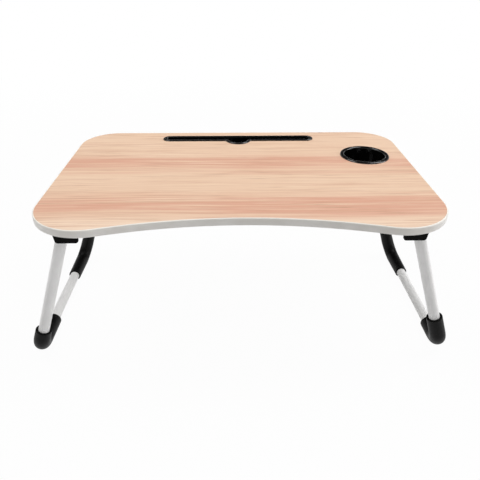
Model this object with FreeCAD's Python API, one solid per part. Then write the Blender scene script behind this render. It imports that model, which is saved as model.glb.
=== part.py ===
"""Folding laptop table: a laminated top on two tube legs that fold flat beneath it.

Millimetres, +Z up. The origin is on the floor under the middle of the top, +X is to the right
and +Y to the rear. The legs stand as in use, splayed outward on their stops.
"""
import FreeCAD, Part
import math
import os

V = FreeCAD.Vector

# Plan of the top
TOP_WIDTH = 600.0
TOP_DEPTH = 400.0
REAR_CORNER_R = 65.0
FRONT_CORNER_R = 77.0
FRONT_HOLLOW = 32.0

# Layers of the top
CORE_T = 11.0
LAMINATE_T = 0.5
BAND_T = 2.0
BAND_ROUND_SHARE = 0.9
GLUE_GAP = 0.05

# Raised flanges of the slot insert and the cup holder
SLOT_FLANGE_W = 5.2
CUP_FLANGE_W = 7.5
FLANGE_PROUD = 2.4
SLOT_FLANGE_ROUND = 1.8
CUP_FLANGE_ROUND = 2.3
FLANGE_CLEARANCE = 0.15
INSERT_FIT = 0.2

# Tablet slot
SLOT_LENGTH = 282.0
SLOT_WIDTH = 16.0
SLOT_FROM_REAR = 39.5
SLOT_WALL = 1.6
SLOT_FLOOR = 1.6
NOTCH_R = 18.5
NOTCH_BLEND_R = 9.0

# Cup holder
CUP_R = 36.0
CUP_DEPTH = 30.0
CUP_WALL = 1.8
CUP_FLOOR = 2.0
CUP_CORNER_R = 4.0
CUP_FROM_SIDE = 73.1
CUP_FROM_REAR = 131.5

# Leg frames
TUBE_D = 17.0
TUBE_WALL = 1.2
BEND_R = 28.0
SPLAY_DEG = 19.4
FRONT_LEG_INSET = 47.0
REAR_LEG_INSET = 59.0
PIN_INSET = 44.5
PIN_DROP = 15.5
FOLD_GAP = 11.2

# Rubber boots on the corners of the frames
BOOT_FIT = 0.05
BOOT_WALL = 4.35
REAR_BOOT_WALL_LESS = 0.8
FRONT_BOOT_TIP_WALL = 4.1
REAR_BOOT_TIP_WALL = 2.6
FRONT_BOOT_UPRIGHT = 53.0
FRONT_BOOT_BAR = 65.5
REAR_BOOT_UPRIGHT = 56.0
REAR_BOOT_BAR = 82.5
BOOT_LIP_R = 0.9
TREAD_CUT = 1.2
# How far the front boots are pushed up round their corners, from the bar onto the upright
FRONT_RIGHT_BOOT_SLIDE = 9.5
FRONT_LEFT_BOOT_SLIDE = -9.5

# Hinge pins
PIN_D = 6.0
PIN_HEAD_D = 10.0
PIN_HEAD_T = 1.6
PIN_RUNNING_FIT = 0.08
PIN_SEAT_FIT = 0.03
PIN_BLIND_DEPTH = 2.6
PIN_END_GAP = 0.2

# Hinge brackets
BRACKET_TOP_W = 37.0
BRACKET_INNER_SLANT = 0.8
BRACKET_OUTER_SLANT = 3.5
BRACKET_DROP = 28.0
BRACKET_SHIFT = 5.3
BRACKET_PLATE_T = 2.5
CHEEK_T = 4.0
CHEEK_CORNER_R = 4.0
CHEEK_EDGE_R = 0.8
CHEEK_GAP = 0.5
EAR_L = 15.0
EAR_CORNER_R = 5.0
BRIDGE_T = 3.0
FOLD_CLEARANCE = 0.7

# Pivot knuckles in the tube ends
KNUCKLE_COLLAR = 11.0
KNUCKLE_SHANK = 26.0
KNUCKLE_FIT = 0.1
STOP_GAP = 0.3
NOSE_W = 5.0

# Clip for the folded legs
CLIP_LENGTH = 20.0
CLIP_ARM_T = 2.4
CLIP_FIT = 0.35
CLIP_FLARE = 1.2
CLIP_REACH = 5.0
CLIP_PLATE_T = 2.5
CLIP_EAR_L = 13.0

# Pan-head screws
SCREW_D = 3.2
SCREW_HEAD_D = 7.0
SCREW_HEAD_T = 2.0
SCREW_GRIP = 9.0
SCREW_TIP = 1.2
SCREW_HOLE_FIT = 0.2
SCREW_PILOT_FIT = 0.05
SCREW_SLOT_W = 1.1
SCREW_SLOT_L = 4.2
SCREW_SLOT_T = 1.2
SCREW_FROM_EDGE = 5.5

# All cuts run past the faces they open by this much
OVERRUN = 1.0

# Sizes that follow from the ones above
TOP_T = CORE_T + LAMINATE_T + LAMINATE_T
TUBE_R = TUBE_D / 2
TUBE_INNER_R = TUBE_R - TUBE_WALL
BOOT_INNER_R = TUBE_R + BOOT_FIT
BOOT_R = BOOT_INNER_R + BOOT_WALL
PIN_R = PIN_D / 2
PIN_X = TOP_WIDTH / 2 - PIN_INSET
FOLDED_X = BOOT_R + FOLD_GAP / 2
LEG_LENGTH = PIN_X - FOLDED_X
BAR_Z = BOOT_R - TREAD_CUT
PIN_Z = BAR_Z + LEG_LENGTH * math.cos(math.radians(SPLAY_DEG))
UNDER_Z = PIN_Z + PIN_DROP
TOP_Z = UNDER_Z + TOP_T
CORE_LOW_Z = UNDER_Z + LAMINATE_T
CORE_HIGH_Z = TOP_Z - LAMINATE_T
FRONT_Y = FRONT_LEG_INSET - TOP_DEPTH / 2
REAR_Y = TOP_DEPTH / 2 - REAR_LEG_INSET
SLOT_Y = TOP_DEPTH / 2 - SLOT_FROM_REAR
CUP_X = TOP_WIDTH / 2 - CUP_FROM_SIDE
CUP_Y = TOP_DEPTH / 2 - CUP_FROM_REAR
CHANNEL_HALF = TUBE_R + CHEEK_GAP
BRACKET_HALF = CHANNEL_HALF + CHEEK_T
BRACKET_X = PIN_X - BRACKET_SHIFT
PLATE_HALF_L = BRACKET_TOP_W / 2 + EAR_L
CLIP_SEAT_R = TUBE_R + CLIP_FIT
CLIP_OUTER_HALF = FOLDED_X + CLIP_SEAT_R + CLIP_ARM_T
CLIP_PLATE_HALF_L = CLIP_OUTER_HALF + CLIP_EAR_L
CLIP_Y = (FRONT_Y + REAR_Y) / 2
SCREW_SHANK_R = SCREW_D / 2


def polar(centre, radius, angle):
    """Point on a circle in plan, the angle in radians."""
    return V(centre.x + radius * math.cos(angle), centre.y + radius * math.sin(angle), centre.z)


def arc(centre, radius, start, end):
    """Edge along a circle in plan between two angles in radians."""
    middle = polar(centre, radius, (start + end) / 2)
    return Part.Arc(polar(centre, radius, start), middle, polar(centre, radius, end)).toShape()


def line(start, end):
    return Part.makeLine(start, end)


def prism(edges, low, high):
    """Solid over a closed outline in plan, between two heights."""
    face = Part.Face(Part.Wire(edges))
    face.translate(V(0, 0, low))
    return face.extrude(V(0, 0, high - low))


def drum(radius, start, end):
    """Cylinder from one point to another."""
    return Part.makeCylinder(radius, (end - start).Length, start, end - start)


def side_profile(points, centre_y, half_width):
    """Prism along Y over a polygon of (x, z) corners."""
    corners = [V(x, centre_y - half_width, z) for x, z in points]
    face = Part.Face(Part.makePolygon(corners + corners[:1]))
    return face.extrude(V(0, half_width + half_width, 0))


def edges_where(shape, test):
    """Edges of a shape whose middle point and direction pass a test."""
    return [edge for edge in shape.Edges if test(edge)]


def at_height(height):
    """Test for edges that lie level at a height."""
    def test(edge):
        box = edge.BoundBox
        return abs(box.ZMin - height) + abs(box.ZMax - height) < GLUE_GAP
    return test


def rounded_plate(half_x, half_y, corner_r, low, high):
    """Rectangular plate about the Z axis with rounded corners."""
    cx = half_x - corner_r
    cy = half_y - corner_r
    edges = []
    for sign_x, sign_y, start in ((1, 1, 0), (-1, 1, 1), (-1, -1, 2), (1, -1, 3)):
        centre = V(sign_x * cx, sign_y * cy, 0)
        edges.append(arc(centre, corner_r, start * math.pi / 2, (start + 1) * math.pi / 2))
    loop = []
    for number, edge in enumerate(edges):
        following = edges[(number + 1) % len(edges)]
        loop.append(edge)
        loop.append(line(edge.lastVertex().Point, following.firstVertex().Point))
    return prism(loop, low, high)


def top_outline(inset):
    """Plan of the top, moved inward: round corners and a front edge that curves in."""
    half_w = TOP_WIDTH / 2
    half_d = TOP_DEPTH / 2
    rear_x = half_w - REAR_CORNER_R
    rear_y = half_d - REAR_CORNER_R
    front_x = half_w - FRONT_CORNER_R
    front_y = FRONT_CORNER_R - half_d
    # The hollow is one arc that meets both front corners tangentially
    reach = (front_x * front_x / FRONT_HOLLOW + FRONT_HOLLOW) / 2
    hollow_r = reach - FRONT_CORNER_R
    hollow_centre = V(0, FRONT_HOLLOW - half_d - hollow_r, 0)
    turn = math.atan2(reach - FRONT_HOLLOW, front_x)
    right = math.pi
    rear_r = REAR_CORNER_R - inset
    front_r = FRONT_CORNER_R - inset
    loop = [
        line(V(-rear_x, half_d - inset, 0), V(rear_x, half_d - inset, 0)),
        arc(V(rear_x, rear_y, 0), rear_r, right / 2, 0),
        line(V(half_w - inset, rear_y, 0), V(half_w - inset, front_y, 0)),
        arc(V(front_x, front_y, 0), front_r, 0, turn - right),
        arc(hollow_centre, hollow_r + inset, turn, right - turn),
        arc(V(-front_x, front_y, 0), front_r, -turn, -right),
        line(V(inset - half_w, front_y, 0), V(inset - half_w, rear_y, 0)),
        arc(V(-rear_x, rear_y, 0), rear_r, right, right / 2),
    ]
    return loop


def slot_outline(grow):
    """Plan of the tablet slot with its finger notch, grown outward."""
    half = SLOT_WIDTH / 2
    end_x = SLOT_LENGTH / 2 - half
    front = SLOT_Y - half - grow
    rear = SLOT_Y + half + grow
    notch = V(0, SLOT_Y - half, 0)
    blend_x = math.sqrt(NOTCH_R * (NOTCH_R + NOTCH_BLEND_R + NOTCH_BLEND_R))
    blend_y = notch.y - NOTCH_BLEND_R
    lean = math.atan2(NOTCH_BLEND_R, blend_x)
    blend_r = NOTCH_BLEND_R - grow
    quarter = math.pi / 2
    return [
        line(V(-end_x, front, 0), V(-blend_x, front, 0)),
        arc(V(-blend_x, blend_y, 0), blend_r, quarter, lean),
        arc(notch, NOTCH_R + grow, math.pi + lean, math.pi + math.pi - lean),
        arc(V(blend_x, blend_y, 0), blend_r, math.pi - lean, quarter),
        line(V(blend_x, front, 0), V(end_x, front, 0)),
        arc(V(end_x, SLOT_Y, 0), half + grow, -quarter, quarter),
        line(V(end_x, rear, 0), V(-end_x, rear, 0)),
        arc(V(-end_x, SLOT_Y, 0), half + grow, quarter, quarter + math.pi),
    ]


def cup_cylinder(radius, low, high):
    return drum(radius, V(CUP_X, CUP_Y, low), V(CUP_X, CUP_Y, high))


def board_layer(low, high, slot_grow, cup_grow):
    """Sheet of the top inside the edge band, with the slot and cup cut-outs."""
    sheet = prism(top_outline(BAND_T + GLUE_GAP), low, high)
    sheet = sheet.cut(prism(slot_outline(slot_grow), low - OVERRUN, high + OVERRUN))
    return sheet.cut(cup_cylinder(CUP_R + cup_grow, low - OVERRUN, high + OVERRUN))


def edge_band():
    """Strip round the top, its two outer edges rounded."""
    band = prism(top_outline(0), UNDER_Z, TOP_Z)
    band_round = BAND_T * BAND_ROUND_SHARE
    band = band.makeFillet(band_round, edges_where(band, at_height(TOP_Z)))
    band = band.makeFillet(band_round, edges_where(band, at_height(UNDER_Z)))
    return band.cut(prism(top_outline(BAND_T), UNDER_Z - OVERRUN, TOP_Z + OVERRUN))


def slot_insert():
    """Moulded trough through the board, with a rounded flange on the work surface."""
    flange_top = TOP_Z + FLANGE_PROUD
    flange = prism(slot_outline(SLOT_FLANGE_W), CORE_HIGH_Z, flange_top)
    flange = flange.cut(prism(slot_outline(0), CORE_HIGH_Z - OVERRUN, flange_top + OVERRUN))
    flange = flange.makeFillet(SLOT_FLANGE_ROUND, edges_where(flange, at_height(flange_top)))
    trough = prism(slot_outline(SLOT_WALL), UNDER_Z, CORE_HIGH_Z)
    trough = trough.cut(prism(slot_outline(0), UNDER_Z + SLOT_FLOOR, CORE_HIGH_Z + OVERRUN))
    return flange.fuse(trough).removeSplitter()


def cup_holder():
    """Moulded cup with a rounded rim, turned from one section."""
    rim_r = CUP_R + CUP_FLANGE_W
    rim_z = TOP_Z + FLANGE_PROUD
    outer_r = CUP_R + CUP_WALL
    outer_corner = CUP_CORNER_R + CUP_FLOOR
    floor_z = rim_z - CUP_DEPTH
    base_z = floor_z - CUP_FLOOR
    bend = CUP_FLANGE_ROUND * (1 - math.sqrt(0.5))
    foot_bend = outer_corner * (1 - math.sqrt(0.5))
    floor_bend = CUP_CORNER_R * (1 - math.sqrt(0.5))

    def at(radius, height):
        return V(radius, 0, height)

    def round_corner(start, middle, end):
        return Part.Arc(at(*start), at(*middle), at(*end)).toShape()

    bead_in = CUP_R + CUP_FLANGE_ROUND
    bead_out = rim_r - CUP_FLANGE_ROUND
    bead_z = rim_z - CUP_FLANGE_ROUND
    section = [
        line(at(0, base_z), at(outer_r - outer_corner, base_z)),
        round_corner((outer_r - outer_corner, base_z), (outer_r - foot_bend, base_z + foot_bend),
                     (outer_r, base_z + outer_corner)),
        line(at(outer_r, base_z + outer_corner), at(outer_r, CORE_HIGH_Z)),
        line(at(outer_r, CORE_HIGH_Z), at(rim_r, CORE_HIGH_Z)),
        line(at(rim_r, CORE_HIGH_Z), at(rim_r, bead_z)),
        round_corner((rim_r, bead_z), (rim_r - bend, rim_z - bend), (bead_out, rim_z)),
        line(at(bead_out, rim_z), at(bead_in, rim_z)),
        round_corner((bead_in, rim_z), (CUP_R + bend, rim_z - bend), (CUP_R, bead_z)),
        line(at(CUP_R, bead_z), at(CUP_R, floor_z + CUP_CORNER_R)),
        round_corner((CUP_R, floor_z + CUP_CORNER_R), (CUP_R - floor_bend, floor_z + floor_bend),
                     (CUP_R - CUP_CORNER_R, floor_z)),
        line(at(CUP_R - CUP_CORNER_R, floor_z), at(0, floor_z)),
        line(at(0, floor_z), at(0, base_z)),
    ]
    cup = Part.Face(Part.Wire(section)).revolve(V(0, 0, 0), V(0, 0, 1), 360)
    cup.translate(V(CUP_X, CUP_Y, 0))
    return cup


def bracket_screw_places():
    """Screw centres of one bracket, from its plate's middle."""
    along = PLATE_HALF_L - SCREW_FROM_EDGE
    across = BRACKET_HALF - SCREW_FROM_EDGE
    return [(sign_x * along, sign_y * across) for sign_x in (-1, 1) for sign_y in (-1, 1)]


def clip_screw_places():
    along = CLIP_PLATE_HALF_L - SCREW_FROM_EDGE
    return [(-along, CLIP_Y), (along, CLIP_Y)]


def screw(x, y, plate_t):
    """Pan-head screw, head down, holding a plate to the underside."""
    seat_z = UNDER_Z - plate_t
    tip_z = CORE_LOW_Z + SCREW_GRIP
    head = drum(SCREW_HEAD_D / 2, V(x, y, seat_z - SCREW_HEAD_T), V(x, y, seat_z))
    head = head.makeFillet(SCREW_HEAD_T / 2, edges_where(head, at_height(seat_z - SCREW_HEAD_T)))
    shank = drum(SCREW_SHANK_R, V(x, y, seat_z), V(x, y, tip_z - SCREW_TIP))
    tip = Part.makeCone(SCREW_SHANK_R, 0, SCREW_TIP, V(x, y, tip_z - SCREW_TIP), V(0, 0, 1))
    body = head.fuse([shank, tip])
    for length, width in ((SCREW_SLOT_L, SCREW_SLOT_W), (SCREW_SLOT_W, SCREW_SLOT_L)):
        corner = V(x - length / 2, y - width / 2, seat_z - SCREW_HEAD_T - OVERRUN)
        body = body.cut(Part.makeBox(length, width, SCREW_SLOT_T + OVERRUN, corner))
    return body


def screw_hole(x, y, plate_z):
    """Clearance hole for a screw through a plate on the underside."""
    return drum(SCREW_SHANK_R + SCREW_HOLE_FIT, V(x, y, plate_z - OVERRUN), V(x, y, UNDER_Z + OVERRUN))


def pilot_holes(sheet, places):
    """Holes for screw shanks, drilled up from the underside."""
    for x, y in places:
        top = V(x, y, CORE_LOW_Z + SCREW_GRIP)
        sheet = sheet.cut(drum(SCREW_SHANK_R + SCREW_PILOT_FIT, V(x, y, UNDER_Z - OVERRUN), top))
    return sheet


def bracket(centre_y, inner):
    """Right-hand hinge bracket; inner is +1 or -1 towards the middle of the table."""
    plate_z = UNDER_Z - BRACKET_PLATE_T
    low_z = UNDER_Z - BRACKET_DROP
    body = rounded_plate(PLATE_HALF_L, BRACKET_HALF, EAR_CORNER_R, plate_z, UNDER_Z)
    body.translate(V(BRACKET_X, centre_y, 0))
    for x, y in bracket_screw_places():
        body = body.cut(screw_hole(BRACKET_X + x, centre_y + y, plate_z))
    cheek_outline = [
        (BRACKET_X - BRACKET_TOP_W / 2, plate_z),
        (BRACKET_X + BRACKET_TOP_W / 2, plate_z),
        (BRACKET_X + BRACKET_TOP_W / 2 - BRACKET_OUTER_SLANT, low_z),
        (BRACKET_X - BRACKET_TOP_W / 2 + BRACKET_INNER_SLANT, low_z),
    ]

    def bottom_corner(edge):
        box = edge.BoundBox
        return box.YLength > CHEEK_T / 2 and box.ZMax < plate_z - GLUE_GAP

    for sign in (-1, 1):
        outer_y = centre_y + sign * BRACKET_HALF

        def outer_edge(edge):
            box = edge.BoundBox
            on_face = abs(box.YMin - outer_y) + abs(box.YMax - outer_y) < GLUE_GAP
            return on_face and box.ZMin < plate_z - GLUE_GAP

        cheek = side_profile(cheek_outline, outer_y - sign * CHEEK_T / 2, CHEEK_T / 2)
        cheek = cheek.makeFillet(CHEEK_CORNER_R, edges_where(cheek, bottom_corner))
        cheek = cheek.makeFillet(CHEEK_EDGE_R, edges_where(cheek, outer_edge))
        body = body.fuse(cheek)
    # Low bridge over the folded tube, which ties the cheeks at the inboard end
    bridge_x = BRACKET_X - BRACKET_TOP_W / 2
    bridge_low = PIN_Z + TUBE_R + FOLD_CLEARANCE
    slant = BRACKET_INNER_SLANT / (plate_z - low_z)
    foot_x = bridge_x + slant * (plate_z - bridge_low)
    bridge_outline = [(bridge_x, plate_z), (bridge_x + BRIDGE_T, plate_z),
                      (foot_x + BRIDGE_T, bridge_low), (foot_x, bridge_low)]
    body = body.fuse(side_profile(bridge_outline, centre_y, CHANNEL_HALF))
    # The pin goes in from the inner cheek and ends blind in the outer one
    start = V(PIN_X, centre_y + inner * (BRACKET_HALF + OVERRUN), PIN_Z)
    end = V(PIN_X, centre_y - inner * (CHANNEL_HALF + PIN_BLIND_DEPTH), PIN_Z)
    return body.cut(drum(PIN_R + PIN_SEAT_FIT, start, end)).removeSplitter()


def pin(centre_y, inner):
    """Headed hinge pin, its head against the inner cheek."""
    seat = V(PIN_X, centre_y + inner * BRACKET_HALF, PIN_Z)
    crown = V(PIN_X, seat.y + inner * PIN_HEAD_T, PIN_Z)
    end = V(PIN_X, centre_y - inner * (CHANNEL_HALF + PIN_BLIND_DEPTH - PIN_END_GAP), PIN_Z)
    head = drum(PIN_HEAD_D / 2, seat, crown)

    def crown_edge(edge):
        box = edge.BoundBox
        return abs(box.YMin - crown.y) + abs(box.YMax - crown.y) < GLUE_GAP

    head = head.makeFillet(PIN_HEAD_T / 2, edges_where(head, crown_edge))
    return head.fuse(drum(PIN_R, seat, end))


def splayed(shape):
    """Swing a piece of the upright right-hand leg out to its rest."""
    shape.rotate(V(PIN_X, 0, PIN_Z), V(0, 1, 0), -SPLAY_DEG)
    return shape


def frame_path(top_drop):
    """Centre line of the upright U frame: two uprights, two bends and the floor bar."""
    bar_z = PIN_Z - LEG_LENGTH
    turn = BEND_R * (1 - math.sqrt(0.5))

    def at(y, z):
        return V(PIN_X, y, z)

    return [
        line(at(FRONT_Y, PIN_Z - top_drop), at(FRONT_Y, bar_z + BEND_R)),
        Part.Arc(at(FRONT_Y, bar_z + BEND_R), at(FRONT_Y + turn, bar_z + turn),
                 at(FRONT_Y + BEND_R, bar_z)).toShape(),
        line(at(FRONT_Y + BEND_R, bar_z), at(REAR_Y - BEND_R, bar_z)),
        Part.Arc(at(REAR_Y - BEND_R, bar_z), at(REAR_Y - turn, bar_z + turn),
                 at(REAR_Y, bar_z + BEND_R)).toShape(),
        line(at(REAR_Y, bar_z + BEND_R), at(REAR_Y, PIN_Z - top_drop)),
    ]


def swept_round(path, radius):
    """Round bar along a path of edges."""
    spine = Part.Wire(path)
    start = path[0].firstVertex().Point
    ahead = path[0].tangentAt(path[0].FirstParameter)
    ring = Part.Wire(Part.Circle(start, ahead, radius).toShape())
    return spine.makePipeShell([ring], True, False)


def leg_tube():
    """Hollow U frame, open at its two upper ends."""
    outer = swept_round(frame_path(KNUCKLE_COLLAR), TUBE_R)
    inner = swept_round(frame_path(KNUCKLE_COLLAR - OVERRUN), TUBE_INNER_R)
    return splayed(outer.cut(inner))


def boot(corner_y, inward, rise, run, wall, tip_wall):
    """Right-hand rubber elbow over a frame corner: full round the bend, tapered to both ends."""
    bar_z = PIN_Z - LEG_LENGTH
    turn = BEND_R * (1 - math.sqrt(0.5))
    bend_r = BOOT_INNER_R + wall
    tip_r = BOOT_INNER_R + tip_wall

    def at(along, height):
        return V(PIN_X, corner_y + inward * along, bar_z + height)

    ring = Part.Face(Part.Wire(Part.Circle(at(0, BEND_R), V(0, 0, 1), bend_r).toShape()))
    elbow = ring.revolve(at(BEND_R, BEND_R), V(1, 0, 0), inward * 90)
    sleeve_up = Part.makeCone(bend_r, tip_r, rise - BEND_R, at(0, BEND_R), V(0, 0, 1))
    sleeve_along = Part.makeCone(bend_r, tip_r, run - BEND_R, at(BEND_R, 0), V(0, inward, 0))
    body = elbow.fuse([sleeve_up, sleeve_along])
    bend = Part.Arc(at(0, BEND_R), at(turn, turn), at(BEND_R, 0)).toShape()
    bore_path = [line(at(0, rise + OVERRUN), at(0, BEND_R)), bend, line(at(BEND_R, 0), at(run + OVERRUN, 0))]
    rim_z = bar_z + rise
    tip_y = corner_y + inward * run

    def lip(edge):
        box = edge.BoundBox
        at_rim = abs(box.ZMin - rim_z) + abs(box.ZMax - rim_z) < GLUE_GAP
        at_tip = abs(box.YMin - tip_y) + abs(box.YMax - tip_y) < GLUE_GAP
        return at_rim or at_tip

    body = body.makeFillet(BOOT_LIP_R, edges_where(body, lip))
    body = splayed(body.cut(swept_round(bore_path, BOOT_INNER_R)))
    # Flat tread where the boot meets the floor
    reach = rise + run
    foot = V(PIN_X + LEG_LENGTH * math.sin(math.radians(SPLAY_DEG)), corner_y, 0)
    above = Part.makeBox(reach + reach, reach + reach, reach, foot - V(reach, reach, 0))
    return body.common(above)


def front_boot(slide):
    """Right-hand front boot, pushed up the upright by a distance."""
    rise = FRONT_BOOT_UPRIGHT + slide
    run = FRONT_BOOT_BAR - slide
    return boot(FRONT_Y, 1, rise, run, BOOT_WALL, FRONT_BOOT_TIP_WALL)


def knuckle(centre_y):
    """Pivot plug: barrel and stop nose round the pin, shank inside the tube."""
    pivot = V(PIN_X, centre_y, PIN_Z)
    shoulder = pivot - V(0, 0, KNUCKLE_COLLAR)
    foot = shoulder - V(0, 0, KNUCKLE_SHANK)
    side = V(0, TUBE_R, 0)
    collar = drum(TUBE_R, shoulder, pivot)
    shank = drum(TUBE_INNER_R - KNUCKLE_FIT, foot, shoulder)
    body = splayed(collar.fuse(shank))
    # At rest the nose's flat lies against the bracket's plate and stops the leg
    nose_z = PIN_DROP - BRACKET_PLATE_T - STOP_GAP
    inner_turn = math.acos(TUBE_R / nose_z)
    corner_turn = math.atan2(NOSE_W, nose_z) + math.acos(TUBE_R / math.hypot(NOSE_W, nose_z))
    outline = [
        (0, 0),
        (-TUBE_R * math.sin(inner_turn), TUBE_R * math.cos(inner_turn)),
        (0, nose_z),
        (NOSE_W, nose_z),
        (TUBE_R * math.sin(corner_turn), TUBE_R * math.cos(corner_turn)),
    ]
    nose = side_profile([(PIN_X + x, PIN_Z + z) for x, z in outline], centre_y, TUBE_R)
    body = body.fuse([drum(TUBE_R, pivot - side, pivot + side), nose])
    over = V(0, TUBE_R + OVERRUN, 0)
    return body.cut(drum(PIN_R + PIN_RUNNING_FIT, pivot - over, pivot + over)).removeSplitter()


def leg_clip():
    """Double clip under the middle of the board, one channel for each folded floor bar."""
    plate_z = UNDER_Z - CLIP_PLATE_T
    tip_z = PIN_Z - CLIP_REACH
    body = rounded_plate(CLIP_PLATE_HALF_L, CLIP_LENGTH / 2, EAR_CORNER_R, plate_z, UNDER_Z)
    body.translate(V(0, CLIP_Y, 0))
    for x, y in clip_screw_places():
        body = body.cut(screw_hole(x, y, plate_z))
    half = CLIP_SEAT_R + CLIP_ARM_T
    over = V(0, CLIP_LENGTH / 2 + OVERRUN, 0)
    for sign in (-1, 1):
        x = sign * FOLDED_X
        block = side_profile([(x - half, plate_z), (x + half, plate_z), (x + half, tip_z), (x - half, tip_z)],
                             CLIP_Y, CLIP_LENGTH / 2)
        seat = V(x, CLIP_Y, PIN_Z)
        block = block.cut(drum(CLIP_SEAT_R, seat - over, seat + over))
        mouth = CLIP_SEAT_R + CLIP_FLARE
        opening = [(x - CLIP_SEAT_R, PIN_Z), (x + CLIP_SEAT_R, PIN_Z),
                   (x + mouth, tip_z - OVERRUN), (x - mouth, tip_z - OVERRUN)]
        block = block.cut(side_profile(opening, CLIP_Y, CLIP_LENGTH / 2 + OVERRUN))
        body = body.fuse(block)
    return body.removeSplitter()


def mirrored(shape):
    """The left-hand copy of a right-hand piece."""
    return shape.mirror(V(0, 0, 0), V(1, 0, 0))


def export(node, shape):
    shape.exportStep(os.path.join("parts", node + ".step"))
    box = shape.BoundBox
    size = "%.1f x %.1f x %.1f" % (box.XLength, box.YLength, box.ZLength)
    state = "valid" if shape.isValid() else "NOT VALID"
    print(node, len(shape.Solids), state, "%.0f mm3" % shape.Volume, size)


def build():
    os.makedirs("parts", exist_ok=True)
    bracket_places = []
    for centre_x in (-BRACKET_X, BRACKET_X):
        for centre_y in (FRONT_Y, REAR_Y):
            bracket_places += [(centre_x + x, centre_y + y) for x, y in bracket_screw_places()]
    screw_places = bracket_places + clip_screw_places()

    core = board_layer(CORE_LOW_Z, CORE_HIGH_Z, SLOT_WALL + INSERT_FIT, CUP_WALL + INSERT_FIT)
    base = board_layer(UNDER_Z, CORE_LOW_Z, SLOT_WALL + INSERT_FIT, CUP_WALL + INSERT_FIT)
    slot_cut = SLOT_FLANGE_W + FLANGE_CLEARANCE
    cup_cut = CUP_FLANGE_W + FLANGE_CLEARANCE
    export("board_core", pilot_holes(core, screw_places))
    export("base_laminate", pilot_holes(base, screw_places))
    export("top_laminate", board_layer(CORE_HIGH_Z, TOP_Z, slot_cut, cup_cut))
    export("edge_band", edge_band())
    export("slot_insert", slot_insert())
    export("cup_holder", cup_holder())
    export("leg_clip", leg_clip())
    export("bracket_screws", Part.makeCompound([screw(x, y, BRACKET_PLATE_T) for x, y in bracket_places]))
    export("clip_screws", Part.makeCompound([screw(x, y, CLIP_PLATE_T) for x, y in clip_screw_places()]))

    right_tube = leg_tube()
    export("right_leg_tube", right_tube)
    export("left_leg_tube", mirrored(right_tube))
    for name, centre_y, inner in (("front", FRONT_Y, 1), ("rear", REAR_Y, -1)):
        pieces = {
            "bracket": bracket(centre_y, inner),
            "pin": pin(centre_y, inner),
            "knuckle": knuckle(centre_y),
        }
        for piece, shape in pieces.items():
            export("%s_right_%s" % (name, piece), shape)
            export("%s_left_%s" % (name, piece), mirrored(shape))
    export("front_right_boot", front_boot(FRONT_RIGHT_BOOT_SLIDE))
    export("front_left_boot", mirrored(front_boot(FRONT_LEFT_BOOT_SLIDE)))
    rear_boot = boot(REAR_Y, -1, REAR_BOOT_UPRIGHT, REAR_BOOT_BAR, BOOT_WALL - REAR_BOOT_WALL_LESS,
                     REAR_BOOT_TIP_WALL)
    export("rear_right_boot", rear_boot)
    export("rear_left_boot", mirrored(rear_boot))
    print("height of the work surface %.2f, pins at x %.2f, legs %.2f long" % (TOP_Z, PIN_X, LEG_LENGTH))


build()
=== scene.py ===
"""Looks of the folding laptop table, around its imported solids. Metres, in the row frame."""
import math

import bpy
from mathutils import Matrix, Vector


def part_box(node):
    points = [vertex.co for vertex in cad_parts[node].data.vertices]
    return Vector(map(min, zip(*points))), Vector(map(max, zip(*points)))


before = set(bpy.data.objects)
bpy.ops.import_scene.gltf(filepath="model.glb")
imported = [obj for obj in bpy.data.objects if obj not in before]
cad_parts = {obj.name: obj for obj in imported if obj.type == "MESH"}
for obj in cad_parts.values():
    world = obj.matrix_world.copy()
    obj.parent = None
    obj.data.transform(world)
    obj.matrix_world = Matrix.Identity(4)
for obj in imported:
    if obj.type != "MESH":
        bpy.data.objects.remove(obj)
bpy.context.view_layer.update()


def srgb(red, green, blue):
    """A colour given as 0 to 255 on screen, as the linear light that a shader takes."""
    def linear(value):
        share = value / 255
        return share / 12.92 if share <= 0.04045 else ((share + 0.055) / 1.055) ** 2.4
    return (linear(red), linear(green), linear(blue), 1.0)


MM = 0.001
WHITE = (1.0, 1.0, 1.0, 1.0)
WHOLE = (0.0, 1.0)

# Height of the work surface
WORK_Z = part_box("top_laminate")[1].z

# Camera at the photograph's viewing angle, placed from the middle of the work surface
CAMERA_FROM_TOP = Vector((-0.0156, -0.7579, 0.3178))
CAMERA_PITCH = math.radians(30.885)
CAMERA_YAW = math.radians(1.234)
CAMERA_ROLL = math.radians(-0.153)
CAMERA_CLIP_START = 0.01
FRAME_PX = 480
FOCAL_PX = 484.17
SENSOR_WIDTH = 36.0

# Light of the surround, where 1 renders a surface at the colour it is written in
AMBIENT_LEVEL = 0.32

# Ceiling that glossy pieces mirror: its level, and the rise of a ray over which white turns into it
CEILING_LEVEL = 0.05
CEILING_RISE = (0.12, 0.28)

# Floor: its size and colour, and its share of plain white before and after the distances of the fade
FLOOR_HALF = 9.0
FLOOR_COLOUR = srgb(222, 222, 222)
FLOOR_GLOW = (0.97, 1.0)
FLOOR_FADE = (0.6, 2.2)

# Middle of a noise, and the parts of its range over which a finish changes
NOISE_MIDDLE = 0.5
CLOUD_RANGE = (0.3, 0.7)
GRAIN_RANGE = (0.25, 0.75)
FIBRE_RANGE = (0.2, 0.8)

# Patterns of the plain finishes: features in a metre, in all directions or along X, Y and Z
WHITE_CLOUD_SCALE = 28.0
PRESSED_SCALE = (900.0, 900.0, 2700.0)
DRAWN_SCALE = (2600.0, 312.0, 2600.0)
ZINC_CLOUD_SCALE = 240.0

# Depth of the painted highlight along the top of the edge strip: a paler colour where light catches its
# rounded upper edge
PAINTED_HIGHLIGHT_DEPTH = 2.0 * MM

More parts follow.
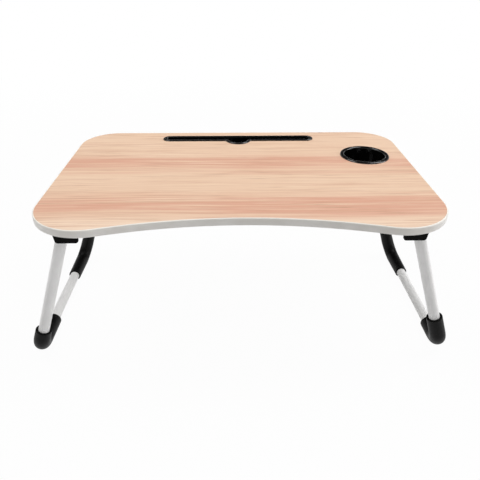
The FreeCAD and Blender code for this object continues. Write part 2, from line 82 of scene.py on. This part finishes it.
# Wood bands along the board, each with its middle, half width and strength
WARM_BANDS = ((0.034, 0.028, 1.4), (-0.010, 0.006, 0.5), (-0.131, 0.034, 1.2))
PALE_BANDS = ((-0.198, 0.032, 0.7),)
BAND_STEEPNESS = 2.4

# Wood patterns: features in a metre along, across and through the board
SWAY_SCALE = (1.7, 7.0, 1.0)
WAVER_SCALE = (5.0, 26.0, 1.0)
RAGGED_SCALE = (3.4, 130.0, 1.0)
FADING_SCALE = (2.9, 8.0, 1.0)
STREAK_SCALE = (2.4, 70.0, 4.0)
THREAD_SCALE = (5.0, 260.0, 4.0)
PATCH_SCALE = (4.5, 30.0, 9.0)
LINE_SCALE = (11.0, 420.0, 3.0)
PORE_SCALE = (46.0, 2300.0, 5.0)
FIBRE_SCALE = (14.0, 1500.0, 2.0)

# Wood: how far the grain sways and wavers across the board, and how deep pores sink into the fibres
SWAY_REACH = 0.018
WAVER_REACH = 0.004
PORE_SINK = 0.6

# Wood colours
BEIGE = srgb(241, 207, 178)
PINK = srgb(227, 172, 146)
PALE = srgb(253, 228, 204)
DARK_STREAK = srgb(216, 168, 138)
LIGHT_STREAK = srgb(250, 222, 195)
DARK_THREAD = srgb(217, 172, 144)
LIGHT_THREAD = srgb(252, 225, 199)
LINE_BROWN = srgb(190, 143, 115)
PORE_BROWN = srgb(176, 128, 100)

# Colour sockets of the Mix node, by number because it has several of each name
MIX_FIRST = 6
MIX_SECOND = 7
MIX_RESULT = 2


class Nodes:
    """A node tree, with short calls for the nodes that a material or the world needs."""

    def __init__(self, tree):
        self.tree = tree
        self.tree.nodes.clear()

    def node(self, kind):
        return self.tree.nodes.new(kind)

    def link(self, source, target):
        self.tree.links.new(source, target)

    def feed(self, value, socket):
        """Set a socket from a constant, or join it to another node's output."""
        if isinstance(value, bpy.types.NodeSocket):
            self.link(value, socket)
        else:
            socket.default_value = value

    def math(self, operation, first, second=0.0):
        """Work out one operation on two values."""
        node = self.node("ShaderNodeMath")
        node.operation = operation
        self.feed(first, node.inputs[0])
        self.feed(second, node.inputs[1])
        return node.outputs["Value"]

    def spread(self, value, over, onto=WHOLE, curve="SMOOTHSTEP"):
        """Map one range of values onto another, with soft ends unless the curve is LINEAR."""
        node = self.node("ShaderNodeMapRange")
        node.interpolation_type = curve
        self.feed(value, node.inputs["Value"])
        for name, end in zip(("From Min", "From Max", "To Min", "To Max"), (*over, *onto)):
            self.feed(end, node.inputs[name])
        return node.outputs["Result"]

    def rays(self):
        """1 or 0 for a camera ray, and 1 or 0 for one that was reflected or went through glass."""
        path = self.node("ShaderNodeLightPath").outputs
        mirrored = self.math("MAXIMUM", path["Is Glossy Ray"], path["Is Transmission Ray"])
        return path["Is Camera Ray"], mirrored


class Surface(Nodes):
    """A new material with one Principled shader."""

    def __init__(self, name):
        self.material = bpy.data.materials.new(name)
        self.material.use_nodes = True
        super().__init__(self.material.node_tree)
        self.shader = self.node("ShaderNodeBsdfPrincipled")
        self.output = self.node("ShaderNodeOutputMaterial")
        self.link(self.shader.outputs["BSDF"], self.output.inputs["Surface"])
        self.place = self.node("ShaderNodeTexCoord").outputs["Object"]

    def set(self, **values):
        """Set sockets of the shader by name, with underscores for spaces."""
        for name, value in values.items():
            self.feed(value, self.shader.inputs[name.replace("_", " ")])

    def axis(self, letter):
        """One coordinate of the place on the piece."""
        node = self.node("ShaderNodeSeparateXYZ")
        self.link(self.place, node.inputs["Vector"])
        return node.outputs[letter]

    def noise(self, scale, detail=2.0, roughness=0.5, place=None):
        """Noise with a number of features in a metre, or with three numbers for the three axes."""
        vector = place or self.place
        if isinstance(scale, tuple):
            stretch = self.node("ShaderNodeMapping")
            self.link(vector, stretch.inputs["Vector"])
            stretch.inputs["Scale"].default_value = scale
            vector = stretch.outputs["Vector"]
            scale = 1.0
        texture = self.node("ShaderNodeTexNoise")
        self.link(vector, texture.inputs["Vector"])
        texture.inputs["Scale"].default_value = scale
        texture.inputs["Detail"].default_value = detail
        texture.inputs["Roughness"].default_value = roughness
        return texture.outputs["Fac"]

    def mix(self, factor, first, second):
        """Blend two colours."""
        node = self.node("ShaderNodeMix")
        node.data_type = "RGBA"
        self.feed(factor, node.inputs["Factor"])
        self.feed(first, node.inputs[MIX_FIRST])
        self.feed(second, node.inputs[MIX_SECOND])
        return node.outputs[MIX_RESULT]

    def clouded(self, cloud, shades):
        """A colour that drifts between two shades."""
        return self.mix(self.spread(cloud, CLOUD_RANGE), *shades)

    def tinted(self, colour, pattern, over, share, tint):
        """Lay a tint over a colour where a pattern crosses a range, up to a share."""
        return self.mix(self.spread(pattern, over, (0.0, share)), colour, tint)

    def bump(self, height, depth, strength=1.0):
        """Shade the surface by the relief of a pattern."""
        node = self.node("ShaderNodeBump")
        self.link(height, node.inputs["Height"])
        node.inputs["Distance"].default_value = depth
        node.inputs["Strength"].default_value = strength
        self.link(node.outputs["Normal"], self.shader.inputs["Normal"])


def wood_grain():
    """Pale straight-grained wood print: pinkish bands on beige, with streaks, lines and pores along X."""
    wood = Surface("wood_grain")
    across = wood.axis("Y")
    for scale, reach in ((SWAY_SCALE, SWAY_REACH), (WAVER_SCALE, WAVER_REACH)):
        drift = wood.math("SUBTRACT", wood.noise(scale, detail=1.0), NOISE_MIDDLE)
        across = wood.math("ADD", across, wood.math("MULTIPLY", drift, reach))
    grain = wood.node("ShaderNodeCombineXYZ")
    wood.link(wood.axis("X"), grain.inputs["X"])
    wood.link(across, grain.inputs["Y"])
    along = grain.outputs["Vector"]

    def bands(table):
        total = 0.0
        for middle, half_width, strength in table:
            offset = wood.math("DIVIDE", wood.math("SUBTRACT", across, middle), half_width)
            falloff = wood.math("POWER", wood.math("ABSOLUTE", offset), BAND_STEEPNESS)
            band = wood.math("POWER", math.e, wood.math("MULTIPLY", falloff, -1.0))
            total = wood.math("ADD", total, wood.math("MULTIPLY", band, strength))
        return total

    ragged = wood.noise(RAGGED_SCALE, detail=5.0, roughness=0.66, place=along)
    ragged = wood.spread(ragged, over=(0.34, 0.64), onto=(0.10, 1.15))
    fading = wood.spread(wood.noise(FADING_SCALE, detail=1.0), over=(0.36, 0.60), onto=(0.85, 1.46))
    warm = wood.math("MULTIPLY", wood.math("MULTIPLY", bands(WARM_BANDS), ragged), fading)
    colour = wood.mix(warm, BEIGE, PINK)
    colour = wood.mix(bands(PALE_BANDS), colour, PALE)

    streaks = wood.noise(STREAK_SCALE, detail=6.0, roughness=0.74, place=along)
    colour = wood.tinted(colour, streaks, over=(0.50, 0.72), share=0.8, tint=DARK_STREAK)
    colour = wood.tinted(colour, streaks, over=(0.46, 0.26), share=0.8, tint=LIGHT_STREAK)
    threads = wood.noise(THREAD_SCALE, detail=3.0, roughness=0.6, place=along)
    colour = wood.tinted(colour, threads, over=(0.50, 0.70), share=0.55, tint=DARK_THREAD)
    colour = wood.tinted(colour, threads, over=(0.46, 0.28), share=0.55, tint=LIGHT_THREAD)

    patches = wood.spread(wood.noise(PATCH_SCALE, place=along), over=(0.40, 0.62))
    lines = wood.spread(wood.noise(LINE_SCALE, place=along), over=(0.54, 0.72), onto=(0.0, 0.75))
    colour = wood.mix(wood.math("MULTIPLY", lines, patches), colour, LINE_BROWN)
    pores = wood.noise(PORE_SCALE, detail=1.0, place=along)
    colour = wood.tinted(colour, pores, over=(0.66, 0.80), share=0.35, tint=PORE_BROWN)

    fibres = wood.noise(FIBRE_SCALE, place=along)
    wood.set(Base_Color=colour, IOR=1.48, Roughness=wood.spread(fibres, FIBRE_RANGE, onto=(0.44, 0.56)))
    relief = wood.math("SUBTRACT", fibres, wood.math("MULTIPLY", pores, PORE_SINK))
    wood.bump(relief, depth=0.05 * MM, strength=0.5)
    return wood.material


def fibreboard():
    """Pressed brown fibres, seen only in cut edges and holes."""
    board = Surface("fibreboard")
    fibres = board.noise(PRESSED_SCALE, detail=4.0, roughness=0.7)
    board.set(Base_Color=board.clouded(fibres, (srgb(141, 106, 72), srgb(186, 150, 108))))
    board.set(Roughness=board.spread(fibres, FIBRE_RANGE, onto=(0.75, 0.95)))
    board.bump(fibres, depth=0.15 * MM)
    return board.material


def white_plastic(name, shades, roughness, grain, depth, painted_highlight=None):
    """White finish with a slight cloudiness and a fine grain; a given colour is painted as a highlight
    along its upper edge.
    """
    white = Surface(name)
    colour = white.clouded(white.noise(WHITE_CLOUD_SCALE, detail=3.0), shades)
    # Painted highlight: the top of the piece turns to a paler colour, standing in for light on its rounded
    # upper edge
    if painted_highlight:
        height = white.spread(white.axis("Z"), over=(WORK_Z - PAINTED_HIGHLIGHT_DEPTH, WORK_Z))
        colour = white.mix(height, colour, painted_highlight)
    texture = white.noise(grain)
    white.set(Base_Color=colour, IOR=1.5, Roughness=white.spread(texture, GRAIN_RANGE, roughness))
    white.bump(texture, depth)
    return white.material


def black_plastic(name, shades, mottle, roughness, grain, depth, specular):
    """Black moulded finish with a spark-eroded grain."""
    black = Surface(name)
    colour = black.clouded(black.noise(mottle, detail=4.0, roughness=0.6), shades)
    texture = black.noise(grain, detail=3.0, roughness=0.6)
    black.set(Base_Color=colour, Specular_IOR_Level=specular)
    black.set(Roughness=black.spread(texture, GRAIN_RANGE, roughness))
    black.bump(texture, depth)
    return black.material


def steel():
    """Zinc-plated steel with a drawn grain and faint clouding."""
    zinc = Surface("steel")
    drawn = zinc.noise(DRAWN_SCALE)
    cloud = zinc.noise(ZINC_CLOUD_SCALE, detail=3.0)
    colour = zinc.clouded(cloud, (srgb(176, 178, 180), srgb(206, 206, 204)))
    zinc.set(Base_Color=colour, Metallic=1.0, Roughness=zinc.spread(drawn, FIBRE_RANGE, onto=(0.24, 0.42)))
    zinc.bump(drawn, depth=0.02 * MM)
    return zinc.material


def finishes():
    """The material of each slot in the record."""
    return {
        "wood_grain": wood_grain(),
        "fibreboard": fibreboard(),
        "white_sheet": white_plastic(
            "white_sheet", shades=(srgb(226, 225, 221), srgb(234, 233, 230)),
            roughness=(0.49, 0.61), grain=700.0, depth=0.05 * MM),
        "white_band": white_plastic(
            "white_band", shades=(srgb(235, 231, 225), srgb(243, 240, 235)),
            # The edge strip's paler top colour is a painted highlight, not a colour of the strip itself
            roughness=(0.36, 0.48), grain=1400.0, depth=0.02 * MM, painted_highlight=srgb(255, 250, 241)),
        "white_tube": white_plastic(
            "white_tube", shades=(srgb(242, 241, 240), srgb(249, 248, 247)),
            roughness=(0.28, 0.40), grain=700.0, depth=0.012 * MM),
        "black_gloss": black_plastic(
            "black_gloss", shades=(srgb(5, 4, 4), srgb(11, 10, 9)), mottle=55.0,
            roughness=(0.05, 0.19), grain=900.0, depth=0.005 * MM, specular=0.95),
        "black_moulded": black_plastic(
            "black_moulded", shades=(srgb(4, 3, 3), srgb(10, 9, 8)), mottle=55.0,
            roughness=(0.37, 0.51), grain=1500.0, depth=0.05 * MM, specular=0.05),
        "black_rubber": black_plastic(
            "black_rubber", shades=(srgb(1, 1, 1), srgb(12, 11, 11)), mottle=260.0,
            roughness=(0.39, 0.53), grain=420.0, depth=0.12 * MM, specular=0.12),
        "steel": steel(),
    }


def finish_nodes(materials):
    """Give every CAD node the finish of its slot."""
    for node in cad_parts.values():
        # Blender adds a dot and a number to a name that is taken
        slot_name = node.data.materials[0].name.split(".")[0]
        node.data.materials.clear()
        node.data.materials.append(materials[slot_name])


def camera():
    """The photograph's camera, with square pixels and no shift."""
    forward = Vector((math.sin(CAMERA_YAW) * math.cos(CAMERA_PITCH),
                      math.cos(CAMERA_YAW) * math.cos(CAMERA_PITCH),
                      -math.sin(CAMERA_PITCH)))
    level = Vector((math.cos(CAMERA_YAW), -math.sin(CAMERA_YAW), 0.0))
    down = forward.cross(level)
    right = level * math.cos(CAMERA_ROLL) + down * math.sin(CAMERA_ROLL)
    down = down * math.cos(CAMERA_ROLL) - level * math.sin(CAMERA_ROLL)
    data = bpy.data.cameras.new("camera")
    data.sensor_width = SENSOR_WIDTH
    data.lens = SENSOR_WIDTH * FOCAL_PX / FRAME_PX
    data.clip_start = CAMERA_CLIP_START
    obj = bpy.data.objects.new("camera", data)
    turn = Matrix((right, -down, -forward)).transposed().to_4x4()
    obj.matrix_world = Matrix.Translation(Vector((0.0, 0.0, WORK_Z)) + CAMERA_FROM_TOP) @ turn
    bpy.context.scene.collection.objects.link(obj)
    bpy.context.scene.camera = obj


def softbox(name, place, aim_z, size, level):
    """Square lamp aimed at the table's middle; level is its light on a surface there that faces it."""
    aim = Vector((0.0, 0.0, aim_z)) - Vector(place)
    data = bpy.data.lights.new(name, "AREA")
    data.size = size
    # A surface that faces a lamp renders at power / (pi * distance) ** 2 of its colour
    data.energy = level * (math.pi * aim.length) ** 2
    obj = bpy.data.objects.new(name, data)
    obj.matrix_world = Matrix.Translation(place) @ aim.to_track_quat("-Z", "Y").to_matrix().to_4x4()
    bpy.context.scene.collection.objects.link(obj)


def lamps():
    """Two high lamps beside the table, a weak fill from the left and a large far key from the right."""
    softbox("high_left", place=(-0.9, 0.4, 2.1), aim_z=WORK_Z, size=1.0, level=0.37)
    softbox("high_right", place=(1.2, 0.4, 2.1), aim_z=WORK_Z, size=1.0, level=0.44)
    softbox("left_fill", place=(-1.6, -0.9, 0.7), aim_z=WORK_Z / 2, size=1.2, level=0.09)
    softbox("right_key", place=(12.0, -1.2, 2.2), aim_z=WORK_Z / 2, size=7.0, level=0.43)


def surround():
    """White to the camera, white with a dim ceiling in reflections, and soft light for the rest."""
    world = bpy.data.worlds.new("surround")
    world.use_nodes = True
    nodes = Nodes(world.node_tree)
    camera_ray, mirrored_ray = nodes.rays()
    direction = nodes.node("ShaderNodeSeparateXYZ")
    nodes.link(nodes.node("ShaderNodeTexCoord").outputs["Generated"], direction.inputs["Vector"])
    mirrored = nodes.spread(direction.outputs["Z"], CEILING_RISE, (1.0, CEILING_LEVEL), "LINEAR")
    level = nodes.spread(mirrored_ray, WHOLE, (AMBIENT_LEVEL, mirrored), "LINEAR")
    level = nodes.spread(camera_ray, WHOLE, (level, 1.0), "LINEAR")
    background = nodes.node("ShaderNodeBackground")
    background.inputs["Color"].default_value = WHITE
    nodes.link(level, background.inputs["Strength"])
    output = nodes.node("ShaderNodeOutputWorld")
    nodes.link(background.outputs["Background"], output.inputs["Surface"])
    bpy.context.scene.world = world


def floor():
    """White floor that takes a soft shadow near the table and fades to plain white further out."""
    mesh = bpy.data.meshes.new("floor")
    corners = [(-FLOOR_HALF, -FLOOR_HALF, 0.0), (FLOOR_HALF, -FLOOR_HALF, 0.0),
               (FLOOR_HALF, FLOOR_HALF, 0.0), (-FLOOR_HALF, FLOOR_HALF, 0.0)]
    mesh.from_pydata(corners, [], [(0, 1, 2, 3)])
    obj = bpy.data.objects.new("floor", mesh)
    bpy.context.scene.collection.objects.link(obj)
    ground = Surface("floor")
    ground.set(Base_Color=FLOOR_COLOUR, Roughness=0.9, Specular_IOR_Level=0.0)
    glow = ground.node("ShaderNodeEmission")
    glow.inputs["Color"].default_value = WHITE
    distance = ground.node("ShaderNodeVectorMath")
    distance.operation = "LENGTH"
    ground.link(ground.place, distance.inputs[0])
    share = ground.spread(distance.outputs["Value"], FLOOR_FADE, FLOOR_GLOW)
    seen = ground.math("MAXIMUM", *ground.rays())
    blend = ground.node("ShaderNodeMixShader")
    ground.link(ground.math("MULTIPLY", seen, share), blend.inputs["Fac"])
    ground.link(ground.shader.outputs["BSDF"], blend.inputs[1])
    ground.link(glow.outputs["Emission"], blend.inputs[2])
    ground.link(blend.outputs["Shader"], ground.output.inputs["Surface"])
    # The glow is only seen and lights nothing, so it isn't sampled as a lamp
    ground.material.cycles.emission_sampling = "NONE"
    mesh.materials.append(ground.material)


finish_nodes(finishes())
camera()
lamps()
surround()
floor()
bpy.context.scene.view_settings.view_transform = "Standard"
